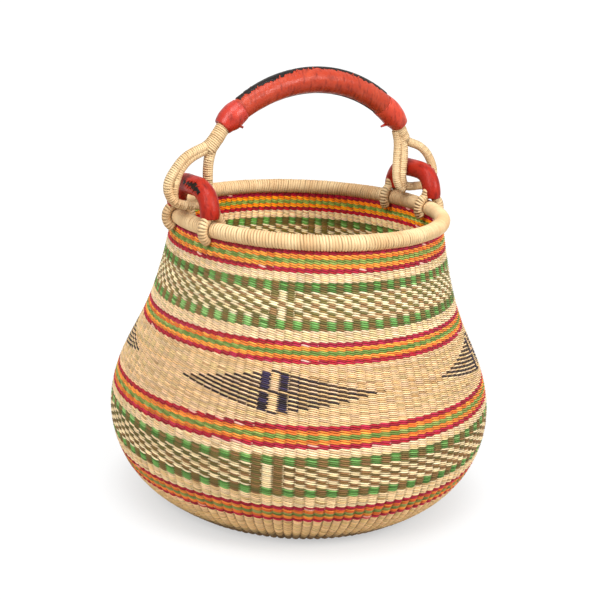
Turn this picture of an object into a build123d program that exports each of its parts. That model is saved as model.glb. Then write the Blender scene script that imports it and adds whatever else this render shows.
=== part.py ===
from build123d import *
import math
import os

os.makedirs("parts", exist_ok=True)

# Woven market basket: a round pot of twined straw with a rolled rim, two leather-bound
# ears, and a swing handle whose forked straw rings are threaded through the ears.
# Z is up, the ears lie on the X axis and the base stands on Z = 0.

# Pot outline: outer radius and height of each place where the weaver changed the curve
base_radius = 132.0
foot_radius = 162.5
foot_height = 22.8
hip_radius = 183.9
hip_height = 56.8
belly_radius = 190.0
belly_height = 86.0
waist_radius = 181.9
waist_height = 134.2
shoulder_radius = 158.9
shoulder_height = 183.6
neck_radius = 141.6
neck_height = 237.0
mouth_radius = 132.0
wall_top = 282.0
wall_thickness = 5.0
base_thickness = 4.5

# Height of each woven band, from the base up
base_turn_up = 8.0
foot_band_height = 30.5
stripe_lowest_height = 18.3
plain_lowest_height = 11.6
checker_lower_height = 38.3
plain_low_height = 8.0
stripe_low_height = 19.5
diamond_band_height = 49.4
stripe_high_height = 17.7
plain_high_height = 9.6
checker_upper_height = 41.0
plain_neck_height = 10.3

# Rolled rim, bound over the upper edge of the wall
rim_roll_radius = 7.5
rim_bite = 3.0
rim_lean_out = 1.0

# Ears: bound hoops that stand on the rim
ear_lean_in = 1.3
ear_half_span = 31.0
ear_crown_rise = 27.5
ear_foot_rise = 3.0
ear_sleeve_radius = 9.5
ear_bend_radius = 21.5

# Straw strands that carry each ear foot round the rim
strand_radius = 4.5
outer_strand_start = 56.0
outer_strand_turn = 112.0
inner_strand_start = 64.0
inner_strand_turn = 104.0

# Handle grip, with its cuffs, strip and knots
grip_radius = 12.0
grip_half_angle = 34.0
cuff_thickness = 1.3
cuff_angle = 12.0
strip_thickness = 1.2
strip_half_angle = 28.0
knot_radius = 1.8
knot_length = 7.0
knot_bite = 0.5

# Necks and forked rings
neck_straw_radius = 6.8
neck_rise = 19.4
neck_spread = 10.2
fork_rise = 56.0
ring_radius = 4.5
ring_rim_gap = 4.5
ring_side_gap = 0.4
ring_reach = 26.8
ring_inner_bend = 10.0
ring_outer_bend = 14.0
ring_shoulder_bend = 22.0
ring_shoulder_inset = 14.5
ring_hip_drop = 19.0
ring_bite = 4.0
doubler_radius = 4.0
doubler_bend = 14.0
doubler_tuck = 8.0

# Heights of the band edges
foot_band_top = base_turn_up + foot_band_height
stripe_lowest_top = foot_band_top + stripe_lowest_height
plain_lowest_top = stripe_lowest_top + plain_lowest_height
checker_lower_top = plain_lowest_top + checker_lower_height
plain_low_top = checker_lower_top + plain_low_height
stripe_low_top = plain_low_top + stripe_low_height
diamond_band_top = stripe_low_top + diamond_band_height
stripe_high_top = diamond_band_top + stripe_high_height
plain_high_top = stripe_high_top + plain_high_height
checker_upper_top = plain_high_top + checker_upper_height
plain_neck_top = checker_upper_top + plain_neck_height

# Where the rim, the ears and their strands sit
rim_ring_radius = mouth_radius - wall_thickness / 2 + rim_lean_out
rim_height = wall_top - rim_bite + rim_roll_radius
rim_top = rim_height + rim_roll_radius
ear_reach = rim_ring_radius - ear_lean_in
ear_foot_height = rim_top + ear_foot_rise
ear_crown_height = rim_top + ear_crown_rise
ear_angle = math.degrees(math.asin(ear_half_span / rim_ring_radius))
foot_angles = (ear_angle, -ear_angle, 180 - ear_angle, 180 + ear_angle)
strand_orbit = rim_roll_radius + strand_radius

# Where the rings, the necks and the grip sit
ring_axis_height = rim_top + ring_rim_gap + ring_radius
ring_inner_x = ear_reach - ear_sleeve_radius - ring_side_gap - ring_radius
ring_outer_x = ear_reach + ring_reach
ring_shoulder_x = ring_outer_x - ring_shoulder_inset
fork_height = rim_top + fork_rise
ring_shoulder_height = fork_height + ring_bite / 4
ring_hip_height = fork_height - ring_hip_drop
ring_start_x = ring_inner_x - ring_bite / 2
ring_start_height = fork_height + ring_bite
doubler_pitch = ring_radius + doubler_radius
neck_start_x = ring_inner_x - neck_spread
neck_start_height = fork_height + neck_rise
cuff_end_angle = grip_half_angle + cuff_angle
cuff_radius = grip_radius + cuff_thickness
grip_bend = neck_start_x / math.sin(math.radians(cuff_end_angle))
grip_centre_height = neck_start_height - grip_bend * math.cos(math.radians(cuff_end_angle))
grip_axis = Axis((0, 0, grip_centre_height), (0, 1, 0))


# Half section of the whole wall, which every woven band is cut from
with BuildSketch(Plane.XZ) as wall_section:
    with BuildLine():
        outline = [
            (base_radius, 0),
            (foot_radius, foot_height),
            (hip_radius, hip_height),
            (belly_radius, belly_height),
            (waist_radius, waist_height),
            (shoulder_radius, shoulder_height),
            (neck_radius, neck_height),
            (mouth_radius, wall_top),
        ]
        outer_side = Spline(*outline)
        inner_side = Spline(*[(radius - wall_thickness, height) for radius, height in outline])
        Line(outer_side @ 0, inner_side @ 0)
        Line(outer_side @ 1, inner_side @ 1)
    make_face()


# Base: a flat woven disc whose edge turns up into the wall
with BuildPart() as base_weave:
    with BuildSketch(Plane.XZ):
        add(wall_section.sketch_local)
        with Locations((belly_radius, base_turn_up / 2)):
            Rectangle(2 * belly_radius, base_turn_up, mode=Mode.INTERSECT)
        with Locations((base_radius / 2, base_thickness / 2)):
            Rectangle(base_radius, base_thickness)
    revolve(axis=Axis.Z)
base_weave.part.label = "base_weave"
export_step(base_weave.part, "parts/base_weave.step")

# Foot band of plain straw
with BuildPart() as foot_band:
    with BuildSketch(Plane.XZ):
        add(wall_section.sketch_local)
        with Locations((belly_radius, base_turn_up + foot_band_height / 2)):
            Rectangle(2 * belly_radius, foot_band_height, mode=Mode.INTERSECT)
    revolve(axis=Axis.Z)
foot_band.part.label = "foot_band"
export_step(foot_band.part, "parts/foot_band.step")

# Lowest set of coloured stripes
with BuildPart() as stripe_lowest:
    with BuildSketch(Plane.XZ):
        add(wall_section.sketch_local)
        with Locations((belly_radius, foot_band_top + stripe_lowest_height / 2)):
            Rectangle(2 * belly_radius, stripe_lowest_height, mode=Mode.INTERSECT)
    revolve(axis=Axis.Z)
stripe_lowest.part.label = "stripe_lowest"
export_step(stripe_lowest.part, "parts/stripe_lowest.step")

# Plain rows under the lower checker band
with BuildPart() as plain_lowest:
    with BuildSketch(Plane.XZ):
        add(wall_section.sketch_local)
        with Locations((belly_radius, stripe_lowest_top + plain_lowest_height / 2)):
            Rectangle(2 * belly_radius, plain_lowest_height, mode=Mode.INTERSECT)
    revolve(axis=Axis.Z)
plain_lowest.part.label = "plain_lowest"
export_step(plain_lowest.part, "parts/plain_lowest.step")

# Lower checker band, round the widest part of the belly
with BuildPart() as checker_lower:
    with BuildSketch(Plane.XZ):
        add(wall_section.sketch_local)
        with Locations((belly_radius, plain_lowest_top + checker_lower_height / 2)):
            Rectangle(2 * belly_radius, checker_lower_height, mode=Mode.INTERSECT)
    revolve(axis=Axis.Z)
checker_lower.part.label = "checker_lower"
export_step(checker_lower.part, "parts/checker_lower.step")

# Plain rows over the lower checker band
with BuildPart() as plain_low:
    with BuildSketch(Plane.XZ):
        add(wall_section.sketch_local)
        with Locations((belly_radius, checker_lower_top + plain_low_height / 2)):
            Rectangle(2 * belly_radius, plain_low_height, mode=Mode.INTERSECT)
    revolve(axis=Axis.Z)
plain_low.part.label = "plain_low"
export_step(plain_low.part, "parts/plain_low.step")

# Second set of coloured stripes
with BuildPart() as stripe_low:
    with BuildSketch(Plane.XZ):
        add(wall_section.sketch_local)
        with Locations((belly_radius, plain_low_top + stripe_low_height / 2)):
            Rectangle(2 * belly_radius, stripe_low_height, mode=Mode.INTERSECT)
    revolve(axis=Axis.Z)
stripe_low.part.label = "stripe_low"
export_step(stripe_low.part, "parts/stripe_low.step")

# Shoulder band that carries the woven diamonds
with BuildPart() as diamond_band:
    with BuildSketch(Plane.XZ):
        add(wall_section.sketch_local)
        with Locations((belly_radius, stripe_low_top + diamond_band_height / 2)):
            Rectangle(2 * belly_radius, diamond_band_height, mode=Mode.INTERSECT)
    revolve(axis=Axis.Z)
diamond_band.part.label = "diamond_band"
export_step(diamond_band.part, "parts/diamond_band.step")

# Third set of coloured stripes
with BuildPart() as stripe_high:
    with BuildSketch(Plane.XZ):
        add(wall_section.sketch_local)
        with Locations((belly_radius, diamond_band_top + stripe_high_height / 2)):
            Rectangle(2 * belly_radius, stripe_high_height, mode=Mode.INTERSECT)
    revolve(axis=Axis.Z)
stripe_high.part.label = "stripe_high"
export_step(stripe_high.part, "parts/stripe_high.step")

# Plain rows under the upper checker band
with BuildPart() as plain_high:
    with BuildSketch(Plane.XZ):
        add(wall_section.sketch_local)
        with Locations((belly_radius, stripe_high_top + plain_high_height / 2)):
            Rectangle(2 * belly_radius, plain_high_height, mode=Mode.INTERSECT)
    revolve(axis=Axis.Z)
plain_high.part.label = "plain_high"
export_step(plain_high.part, "parts/plain_high.step")

# Upper checker band
with BuildPart() as checker_upper:
    with BuildSketch(Plane.XZ):
        add(wall_section.sketch_local)
        with Locations((belly_radius, plain_high_top + checker_upper_height / 2)):
            Rectangle(2 * belly_radius, checker_upper_height, mode=Mode.INTERSECT)
    revolve(axis=Axis.Z)
checker_upper.part.label = "checker_upper"
export_step(checker_upper.part, "parts/checker_upper.step")

# Plain rows at the neck
with BuildPart() as plain_neck:
    with BuildSketch(Plane.XZ):
        add(wall_section.sketch_local)
        with Locations((belly_radius, checker_upper_top + plain_neck_height / 2)):
            Rectangle(2 * belly_radius, plain_neck_height, mode=Mode.INTERSECT)
    revolve(axis=Axis.Z)
plain_neck.part.label = "plain_neck"
export_step(plain_neck.part, "parts/plain_neck.step")

# Top set of coloured stripes, whose upper edge is bound into the rim
with BuildPart() as stripe_top:
    with BuildSketch(Plane.XZ):
        add(wall_section.sketch_local)
        with Locations((belly_radius, plain_neck_top + (wall_top - plain_neck_top) / 2)):
            Rectangle(2 * belly_radius, wall_top - plain_neck_top, mode=Mode.INTERSECT)
    revolve(axis=Axis.Z)
stripe_top.part.label = "stripe_top"
export_step(stripe_top.part, "parts/stripe_top.step")

# Rim: the stake ends turned over and bound into a round roll
with BuildPart() as rim_roll:
    with BuildSketch(Plane.XZ):
        with Locations((rim_ring_radius, rim_height)):
            Circle(rim_roll_radius)
    revolve(axis=Axis.Z)
rim_roll.part.label = "rim_roll"
export_step(rim_roll.part, "parts/rim_roll.step")

# Left ear: leather stitched round a bundle of straw and bent to a hoop
with BuildPart() as ear_sleeve_left:
    with BuildLine(Plane.YZ.offset(-ear_reach)) as ear_path_left:
        FilletPolyline(
            (-ear_half_span, ear_foot_height),
            (-ear_half_span, ear_crown_height),
            (ear_half_span, ear_crown_height),
            (ear_half_span, ear_foot_height),
            radius=ear_bend_radius,
        )
    with BuildSketch(Plane((-ear_reach, -ear_half_span, ear_foot_height))):
        Circle(ear_sleeve_radius)
    sweep(path=ear_path_left.line)
ear_sleeve_left.part.label = "ear_sleeve_left"
export_step(ear_sleeve_left.part, "parts/ear_sleeve_left.step")

# Right ear: leather stitched round a bundle of straw and bent to a hoop
with BuildPart() as ear_sleeve_right:
    with BuildLine(Plane.YZ.offset(ear_reach)) as ear_path_right:
        FilletPolyline(
            (-ear_half_span, ear_foot_height),
            (-ear_half_span, ear_crown_height),
            (ear_half_span, ear_crown_height),
            (ear_half_span, ear_foot_height),
            radius=ear_bend_radius,
        )
    with BuildSketch(Plane((ear_reach, -ear_half_span, ear_foot_height))):
        Circle(ear_sleeve_radius)
    sweep(path=ear_path_right.line)
ear_sleeve_right.part.label = "ear_sleeve_right"
export_step(ear_sleeve_right.part, "parts/ear_sleeve_right.step")


# Section plane of a foot strand: it stands across the strand where the strand leaves the
# leather, at an angle above the rim's middle, in the radial plane of that foot
def strand_plane(foot_angle, start, side):
    turn = math.radians(foot_angle)
    lift = math.radians(start)
    outward = Vector(math.cos(turn), math.sin(turn), 0)
    reach = outward * (rim_ring_radius + side * strand_orbit * math.cos(lift))
    rise = Vector(0, 0, rim_height + strand_orbit * math.sin(lift))
    heading = Vector(0, 0, math.cos(lift)) - outward * side * math.sin(lift)
    return Plane(origin=reach + rise, x_dir=outward.cross(Vector(0, 0, 1)), z_dir=heading)


# The rim's own line where it passes under a foot
def rim_line(foot_angle):
    turn = math.radians(foot_angle)
    middle = (rim_ring_radius * math.cos(turn), rim_ring_radius * math.sin(turn), rim_height)
    return Axis(middle, (-math.sin(turn), math.cos(turn), 0))


# Outer foot strands: from under the leather, down over the outside of the rim
with BuildPart() as foot_strands_outer:
    for foot_angle in foot_angles:
        with BuildSketch(strand_plane(foot_angle, outer_strand_start, 1)):
            Circle(strand_radius)
        revolve(axis=rim_line(foot_angle), revolution_arc=outer_strand_turn)
foot_strands_outer.part.label = "foot_strands_outer"
export_step(foot_strands_outer.part, "parts/foot_strands_outer.step")

# Inner foot strands: from under the leather, down over the inside of the rim
with BuildPart() as foot_strands_inner:
    for foot_angle in foot_angles:
        with BuildSketch(strand_plane(foot_angle, inner_strand_start, -1)):
            Circle(strand_radius)
        revolve(axis=rim_line(foot_angle), revolution_arc=-inner_strand_turn)
foot_strands_inner.part.label = "foot_strands_inner"
export_step(foot_strands_inner.part, "parts/foot_strands_inner.step")


# Cross-section plane of the grip, at an angle from the top of its arc
def grip_plane(lean):
    side = math.sin(math.radians(lean))
    rise = math.cos(math.radians(lean))
    middle = (grip_bend * side, 0, grip_centre_height + grip_bend * rise)
    return Plane(origin=middle, x_dir=(0, 1, 0), z_dir=(rise, 0, -side))


# Grip: padded straw core under a stitched leather sleeve
with BuildPart() as grip_sleeve:
    with BuildSketch(grip_plane(-grip_half_angle)):
        Circle(grip_radius)
    revolve(axis=grip_axis, revolution_arc=2 * grip_half_angle)
grip_sleeve.part.label = "grip_sleeve"
export_step(grip_sleeve.part, "parts/grip_sleeve.step")

# Dark leather strip stitched along the top of the grip
with BuildPart() as grip_strip:
    with BuildSketch(grip_plane(-grip_half_angle)):
        with BuildLine():
            strip_seat = CenterArc(
                (0, 0), grip_radius, 90 - strip_half_angle, 2 * strip_half_angle
            )
            strip_face = CenterArc(
                (0, 0), grip_radius + strip_thickness, 90 - strip_half_angle, 2 * strip_half_angle
            )
            Line(strip_seat @ 0, strip_face @ 0)
            Line(strip_seat @ 1, strip_face @ 1)
        make_face()
    revolve(axis=grip_axis, revolution_arc=2 * grip_half_angle)
grip_strip.part.label = "grip_strip"
export_step(grip_strip.part, "parts/grip_strip.step")

# Leather cuffs that close the two ends of the grip
with BuildPart() as cuff_left:
    with BuildSketch(grip_plane(-cuff_end_angle)):
        Circle(cuff_radius)
    revolve(axis=grip_axis, revolution_arc=cuff_angle)
cuff_left.part.label = "cuff_left"
export_step(cuff_left.part, "parts/cuff_left.step")

with BuildPart() as cuff_right:
    with BuildSketch(grip_plane(grip_half_angle)):
        Circle(cuff_radius)
    revolve(axis=grip_axis, revolution_arc=cuff_angle)
cuff_right.part.label = "cuff_right"
export_step(cuff_right.part, "parts/cuff_right.step")

# Knots of the cuff thongs, on the hand side of each cuff
with BuildPart() as cuff_knots:
    for side in (-1, 1):
        knot_lean = math.radians(grip_half_angle + 0.7 * cuff_angle)
        knot_reach = grip_bend - cuff_radius + knot_bite
        knot_root = (
            side * knot_reach * math.sin(knot_lean),
            0,
            grip_centre_height + knot_reach * math.cos(knot_lean),
        )
        inward = (-side * math.sin(knot_lean), 0, -math.cos(knot_lean))
        with BuildSketch(Plane(origin=knot_root, x_dir=(0, 1, 0), z_dir=inward)):
            Circle(knot_radius)
        extrude(amount=knot_length)
cuff_knots.part.label = "cuff_knots"
export_step(cuff_knots.part, "parts/cuff_knots.step")

# Left neck: the straw-wound core between the cuff and the fork
with BuildPart() as neck_left:
    with BuildSketch(
        Plane(
            origin=(-ring_inner_x, 0, fork_height),
            x_dir=(0, 1, 0),
            z_dir=(ring_inner_x - neck_start_x, 0, neck_rise),
        )
    ):
        Circle(neck_straw_radius)
    extrude(until=Until.NEXT, target=cuff_left.part)
neck_left.part.label = "neck_left"
export_step(neck_left.part, "parts/neck_left.step")

# Right neck: the straw-wound core between the cuff and the fork
with BuildPart() as neck_right:
    with BuildSketch(
        Plane(
            origin=(ring_inner_x, 0, fork_height),
            x_dir=(0, 1, 0),
            z_dir=(neck_start_x - ring_inner_x, 0, neck_rise),
        )
    ):
        Circle(neck_straw_radius)
    extrude(until=Until.NEXT, target=cuff_right.part)
neck_right.part.label = "neck_right"
export_step(neck_right.part, "parts/neck_right.step")

# Left ring: one straw-wound strand from the fork, out past the rim, under the ear
# crown and back up inside the mouth to the fork
with BuildPart() as ring_left:
    with BuildLine(Plane.XZ) as ring_path_left:
        FilletPolyline(
            (-ring_start_x, ring_start_height),
            (-ring_shoulder_x, ring_shoulder_height),
            (-ring_outer_x, ring_hip_height),
            (-ring_outer_x, ring_axis_height),
            (-ring_inner_x, ring_axis_height),
            (-ring_inner_x, fork_height),
            radius=[
                ring_shoulder_bend,
                ring_shoulder_bend,
                ring_outer_bend,
                ring_inner_bend,
            ],
        )
    with BuildSketch(
        Plane(ring_path_left.line @ 0, x_dir=(0, 1, 0), z_dir=ring_path_left.line % 0)
    ):
        Circle(ring_radius)
    sweep(path=ring_path_left.line)
ring_left.part.label = "ring_left"
export_step(ring_left.part, "parts/ring_left.step")

# Right ring: one straw-wound strand from the fork, out past the rim, under the ear
# crown and back up inside the mouth to the fork
with BuildPart() as ring_right:
    with BuildLine(Plane.XZ) as ring_path_right:
        FilletPolyline(
            (ring_start_x, ring_start_height),
            (ring_shoulder_x, ring_shoulder_height),
            (ring_outer_x, ring_hip_height),
            (ring_outer_x, ring_axis_height),
            (ring_inner_x, ring_axis_height),
            (ring_inner_x, fork_height),
            radius=[
                ring_shoulder_bend,
                ring_shoulder_bend,
                ring_outer_bend,
                ring_inner_bend,
            ],
        )
    with BuildSketch(
        Plane(ring_path_right.line @ 0, x_dir=(0, 1, 0), z_dir=ring_path_right.line % 0)
    ):
        Circle(ring_radius)
    sweep(path=ring_path_right.line)
ring_right.part.label = "ring_right"
export_step(ring_right.part, "parts/ring_right.step")

# Left doubler: a second strand laid inside the outer side of the left ring
with BuildPart() as doubler_left:
    with BuildLine(Plane.XZ) as doubler_path_left:
        FilletPolyline(
            (-ring_inner_x, fork_height - doubler_radius / 2),
            (-ring_shoulder_x + 0.4 * doubler_pitch, ring_shoulder_height - doubler_pitch),
            (-ring_outer_x + doubler_pitch, ring_hip_height - 0.3 * doubler_pitch),
            (-ring_outer_x + doubler_pitch, ring_axis_height + doubler_pitch),
            radius=doubler_bend,
        )
    with BuildSketch(
        Plane(doubler_path_left.line @ 0, x_dir=(0, 1, 0), z_dir=doubler_path_left.line % 0)
    ):
        Circle(doubler_radius)
    sweep(path=doubler_path_left.line)
doubler_left.part.label = "doubler_left"
export_step(doubler_left.part, "parts/doubler_left.step")

# Right doubler: a second strand laid on the hand side of the right ring's inner leg
with BuildPart() as doubler_right:
    with BuildLine(Plane.XZ) as doubler_path_right:
        FilletPolyline(
            (ring_inner_x - doubler_pitch, fork_height + doubler_radius / 2),
            (ring_inner_x - doubler_pitch, ring_axis_height + 0.7 * doubler_pitch),
            (ring_inner_x - doubler_pitch + doubler_tuck, ring_axis_height - ring_radius),
            radius=doubler_tuck,
        )
    with BuildSketch(
        Plane(doubler_path_right.line @ 0, x_dir=(0, 1, 0), z_dir=doubler_path_right.line % 0)
    ):
        Circle(doubler_radius)
    sweep(path=doubler_path_right.line)
doubler_right.part.label = "doubler_right"
export_step(doubler_right.part, "parts/doubler_right.step")
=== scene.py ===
import math

import bpy
import numpy as np
from mathutils import Matrix, Vector


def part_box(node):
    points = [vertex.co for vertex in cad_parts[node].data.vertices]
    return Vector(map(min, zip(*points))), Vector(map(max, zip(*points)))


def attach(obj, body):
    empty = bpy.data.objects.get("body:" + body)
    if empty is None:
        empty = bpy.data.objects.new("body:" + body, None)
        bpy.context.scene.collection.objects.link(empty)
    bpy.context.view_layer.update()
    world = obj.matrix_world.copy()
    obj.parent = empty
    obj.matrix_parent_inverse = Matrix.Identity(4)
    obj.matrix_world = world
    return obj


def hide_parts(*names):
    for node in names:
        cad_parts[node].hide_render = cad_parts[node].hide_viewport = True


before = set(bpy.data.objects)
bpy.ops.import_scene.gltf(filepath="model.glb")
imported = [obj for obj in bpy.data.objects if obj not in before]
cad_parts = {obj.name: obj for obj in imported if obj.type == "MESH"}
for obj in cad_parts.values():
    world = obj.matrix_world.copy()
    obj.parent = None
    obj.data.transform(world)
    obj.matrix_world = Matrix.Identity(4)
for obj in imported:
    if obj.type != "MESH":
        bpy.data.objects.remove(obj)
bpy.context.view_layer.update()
scene = bpy.context.scene
scene.view_settings.view_transform = "Standard"


# ---------------------------------------------------------------- camera
# The basket is seen from in front of one ear, a little above the rim, with a long
# portrait lens. The camera leans a few degrees, as a hand-held one does.

def stand(name, data):
    piece = bpy.data.objects.new(name, data)
    scene.collection.objects.link(piece)
    return piece


def aimed(place, target):
    return (Vector(target) - Vector(place)).to_track_quat("-Z", "Y").to_matrix()


camera_data = bpy.data.cameras.new("camera")
camera_data.sensor_width = 36.0
camera_data.lens = 75.16
camera_data.shift_x = -0.00577
camera_data.shift_y = 0.01727
camera = stand("camera", camera_data)
camera_place = (-0.6889, -0.9839, 0.5412)
camera_lean = Matrix.Rotation(math.radians(2.81), 3, "Z")
camera_turn = aimed(camera_place, (0.0, 0.0, 0.18575)) @ camera_lean
camera.matrix_world = Matrix.Translation(camera_place) @ camera_turn.to_4x4()
scene.camera = camera


# ---------------------------------------------------------------- floor and light
# A seamless white sweep under soft studio light: two large soft boxes beside the
# camera, a broad one overhead, and an even white room.

# Fills a node's inputs: a socket is joined, anything else is set as a value
def feed(tree, node, inputs):
    for key, value in inputs.items():
        if isinstance(value, bpy.types.NodeSocket):
            tree.links.new(value, node.inputs[key])
        else:
            node.inputs[key].default_value = value


def put(tree, kind, inputs=None, **settings):
    node = tree.nodes.new(kind)
    for key, value in settings.items():
        setattr(node, key, value)
    feed(tree, node, inputs or {})
    return node


# The first output of a new node
def made(tree, kind, inputs=None, **settings):
    return put(tree, kind, inputs, **settings).outputs[0]


def sum_up(tree, operation, first, second=0.0, third=0.0):
    numbers = {0: first, 1: second, 2: third}
    return made(tree, "ShaderNodeMath", numbers, operation=operation)


def times(tree, first, second):
    return sum_up(tree, "MULTIPLY", first, second)


# A colour ramp through stops, each a position and a colour
def ramp(tree, value, stops):
    node = put(tree, "ShaderNodeValToRGB", {0: value})
    elements = node.color_ramp.elements
    for element, (position, colour) in zip(elements, (stops[0], stops[-1])):
        element.position, element.color = position, (*colour, 1)
    for position, colour in stops[1:-1]:
        elements.new(position).color = (*colour, 1)
    return node.outputs[0]


def new_material(name):
    material = bpy.data.materials.new(name)
    material.use_nodes = True
    return material, material.node_tree


def place_on_piece(tree):
    return put(tree, "ShaderNodeTexCoord").outputs["Object"]


# The background shows white to the eye, in shine and through glass, and lights nothing
def background_share(tree):
    seen = put(tree, "ShaderNodeLightPath").outputs
    shine = sum_up(tree, "MAXIMUM", seen["Is Glossy Ray"], seen["Is Transmission Ray"])
    return sum_up(tree, "MAXIMUM", seen["Is Camera Ray"], shine)


white = (1, 1, 1, 1)
world = bpy.data.worlds.new("white_room")
scene.world = world
world.use_nodes = True
tree = world.node_tree
tree.nodes.clear()
room = made(tree, "ShaderNodeBackground", {"Color": white, "Strength": 0.34})
paper = made(tree, "ShaderNodeBackground", {"Color": white, "Strength": 1.0})
blend = made(tree, "ShaderNodeMixShader", {0: background_share(tree), 1: room, 2: paper})
put(tree, "ShaderNodeOutputWorld", {"Surface": blend})

floor_reach = 20
floor_corners = [(x * floor_reach, y * floor_reach, 0)
                 for x, y in ((-1, -1), (1, -1), (1, 1), (-1, 1))]
floor_mesh = bpy.data.meshes.new("floor")
floor_mesh.from_pydata(floor_corners, [], [(0, 1, 2, 3)])
floor = stand("floor", floor_mesh)
floor_material, tree = new_material("white_sweep")
tree.nodes.clear()
spot = {0: place_on_piece(tree)}
reach = put(tree, "ShaderNodeVectorMath", spot, operation="LENGTH").outputs["Value"]
fade = ramp(tree, reach, (
    (0.13, (0.45, 0.45, 0.45)), (0.20, (0.85, 0.85, 0.85)), (0.80, (1, 1, 1)),
))
share = times(tree, background_share(tree), fade)
matt = made(tree, "ShaderNodeBsdfDiffuse", {"Color": (0.62, 0.61, 0.59, 1)})
glow = made(tree, "ShaderNodeEmission", {"Color": white, "Strength": 1.08})
sweep = made(tree, "ShaderNodeMixShader", {0: share, 1: matt, 2: glow})
put(tree, "ShaderNodeOutputMaterial", {"Surface": sweep})
floor_mesh.materials.append(floor_material)

lamp_aim = (0, 0, 0.2)
for name, place, size, power in (
    ("soft_box_left", (-1.75, -0.90, 1.50), 0.8, 27.5),
    ("soft_box_right", (0.75, -1.80, 1.40), 0.8, 33.0),
    ("soft_box_top", (-0.35, -0.50, 2.0), 1.0, 25.0),
):
    lamp = bpy.data.lights.new(name, "AREA")
    lamp.shape = "SQUARE"
    lamp.size = size
    lamp.energy = power
    lamp_turn = aimed(place, lamp_aim).to_4x4()
    stand(name, lamp).matrix_world = Matrix.Translation(place) @ lamp_turn


# ---------------------------------------------------------------- woven wall
# Twined elephant-grass straw: in each row two straws twist about each other, and each
# passes over one stake and behind the next. The rows are plain, striped, chequered or
# crossed by dark diamonds.
stake_count = 120
motif_stakes = stake_count // 4
first_stake = math.radians(-132.7)
stake_turns = first_stake + 2 * math.pi * np.arange(stake_count) / stake_count
straw_half = 0.00095
wall_half = 0.0024
nominal_pitch = 0.0085
nominal_row = 0.0019
outline = np.array([
    (0.1320, 0.0), (0.1625, 0.0228), (0.1839, 0.0568), (0.1900, 0.0860),
    (0.1819, 0.1342), (0.1589, 0.1836), (0.1416, 0.2370), (0.1320, 0.2820),
])


def unit(vectors):
    return vectors / np.sqrt((vectors ** 2).sum(-1))[..., None]


# The distance run at each point of a path
def run_at(points):
    return np.concatenate([[0], np.cumsum(np.sqrt((np.diff(points, axis=0) ** 2).sum(1)))])


# Smooth line through points, with free ends, read at many places along it
def smooth_line(points, count):
    gaps = np.sqrt((np.diff(points, axis=0) ** 2).sum(1))
    knots = run_at(points)
    size = len(points)
    slopes = np.diff(points, axis=0) / gaps[:, None]
    matrix = np.eye(size)
    target = np.zeros_like(points)
    for k in range(1, size - 1):
        matrix[k, k - 1:k + 2] = gaps[k - 1], 2 * (gaps[k - 1] + gaps[k]), gaps[k]
        target[k] = 6 * (slopes[k] - slopes[k - 1])
    bend = np.linalg.solve(matrix, target)
    reads = np.linspace(0, knots[-1], count)
    part = np.clip(np.searchsorted(knots, reads, side="right") - 1, 0, size - 2)
    gap = gaps[part][:, None]
    after = (reads - knots[part])[:, None]
    before = gap - after
    return (
        bend[part] * before ** 3 / (6 * gap) + bend[part + 1] * after ** 3 / (6 * gap)
        + (points[part] / gap - bend[part] * gap / 6) * before
        + (points[part + 1] / gap - bend[part + 1] * gap / 6) * after
    )


wall_line = smooth_line(outline, 3000)
wall_length = run_at(wall_line)
wall_up = unit(np.gradient(wall_line, wall_length, axis=0))


# The wall's outer skin at a distance from its foot, and the direction that it faces
def wall_at(length):
    place, up = (
        np.stack([np.interp(length, wall_length, line[:, k]) for k in (0, 1)], -1)
        for line in (wall_line, wall_up)
    )
    return place, np.stack([up[..., 1], -up[..., 0]], -1)


def dye(red, green, blue):
    parts = np.array([red, green, blue]) / 255.0
    return np.where(parts <= 0.04045, parts / 12.92, ((parts + 0.055) / 1.055) ** 2.4)


straw_colours = {
    "natural": [(238, 206, 156), (242, 214, 168), (236, 202, 154),
                (226, 200, 144), (230, 194, 138), (235, 202, 162)],
    "cream": [(240, 220, 176), (246, 230, 190), (236, 212, 164), (242, 218, 178)],
    "crimson": [(172, 26, 54), (190, 40, 72), (150, 18, 40), (180, 30, 44)],
    "orange": [(238, 136, 54), (242, 162, 66), (228, 116, 44), (240, 150, 60)],
    "lime": [(134, 152, 72), (158, 170, 94), (108, 134, 58), (144, 158, 76)],
    "leaf": [(104, 156, 76), (142, 186, 110), (74, 120, 50), (118, 168, 90), (94, 130, 62)],
    "olive": [(130, 102, 54), (114, 94, 48), (146, 108, 66), (106, 98, 50)],
    "moss": [(148, 122, 66), (132, 114, 62), (162, 124, 80), (122, 112, 60)],
    "ink": [(52, 36, 30), (44, 30, 34), (66, 46, 34)],
    "navy": [(46, 36, 56), (60, 48, 82), (38, 26, 30)],
}
straw_names = list(straw_colours)
straw_number = straw_names.index


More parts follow.
